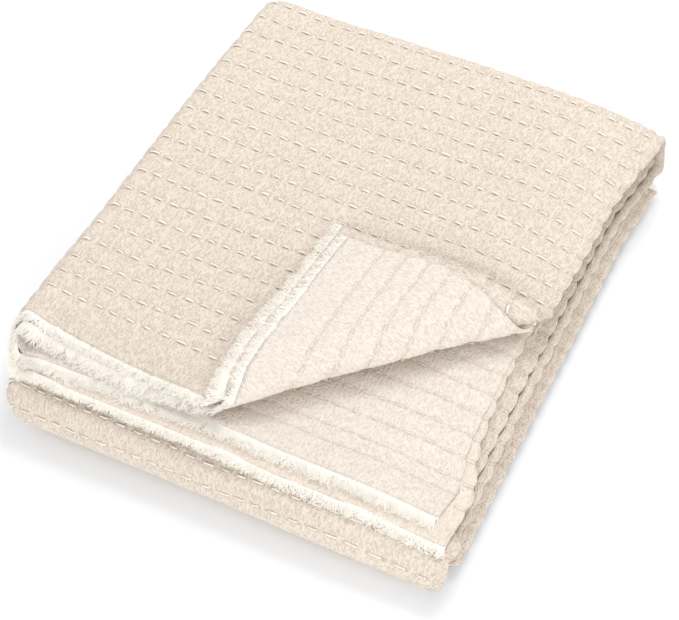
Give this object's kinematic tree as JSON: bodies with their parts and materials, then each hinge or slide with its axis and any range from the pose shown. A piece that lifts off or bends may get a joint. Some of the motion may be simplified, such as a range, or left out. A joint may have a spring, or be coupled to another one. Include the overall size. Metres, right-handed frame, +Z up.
{
  "type": "folded throw blanket",
  "caption": "Folded double-cloth throw blanket with a stitched grid, fringed ends and one front corner turned back to show the cream reverse.",
  "frame": {"origin": "centre of the folded stack's underside, on the surface it lies on", "axes": "+X along the front folded edge to the right, +Y to the back fold, +Z up through the stack"},
  "size_m": [0.5141, 0.6279, 0.1126],
  "materials": {
    "sand_cloth": "matt woven cotton, warm sand",
    "cream_cloth": "matt woven cotton, cream",
    "fringe_yarn": "loose undyed cotton yarn ends"
  },
  "bodies": {
    "root": {"cloth_sand": "sand_cloth", "cloth_cream": "cream_cloth", "fringe_front_sand_low": "fringe_yarn", "fringe_front_sand_top": "fringe_yarn", "fringe_front_sand_corner": "fringe_yarn", "fringe_front_cream_low": "fringe_yarn", "fringe_front_cream_top": "fringe_yarn", "fringe_front_cream_corner": "fringe_yarn", "fringe_back_sand_low": "fringe_yarn", "fringe_back_sand_top": "fringe_yarn", "fringe_back_cream_low": "fringe_yarn", "fringe_back_cream_top": "fringe_yarn"}
  },
  "joints": []
}
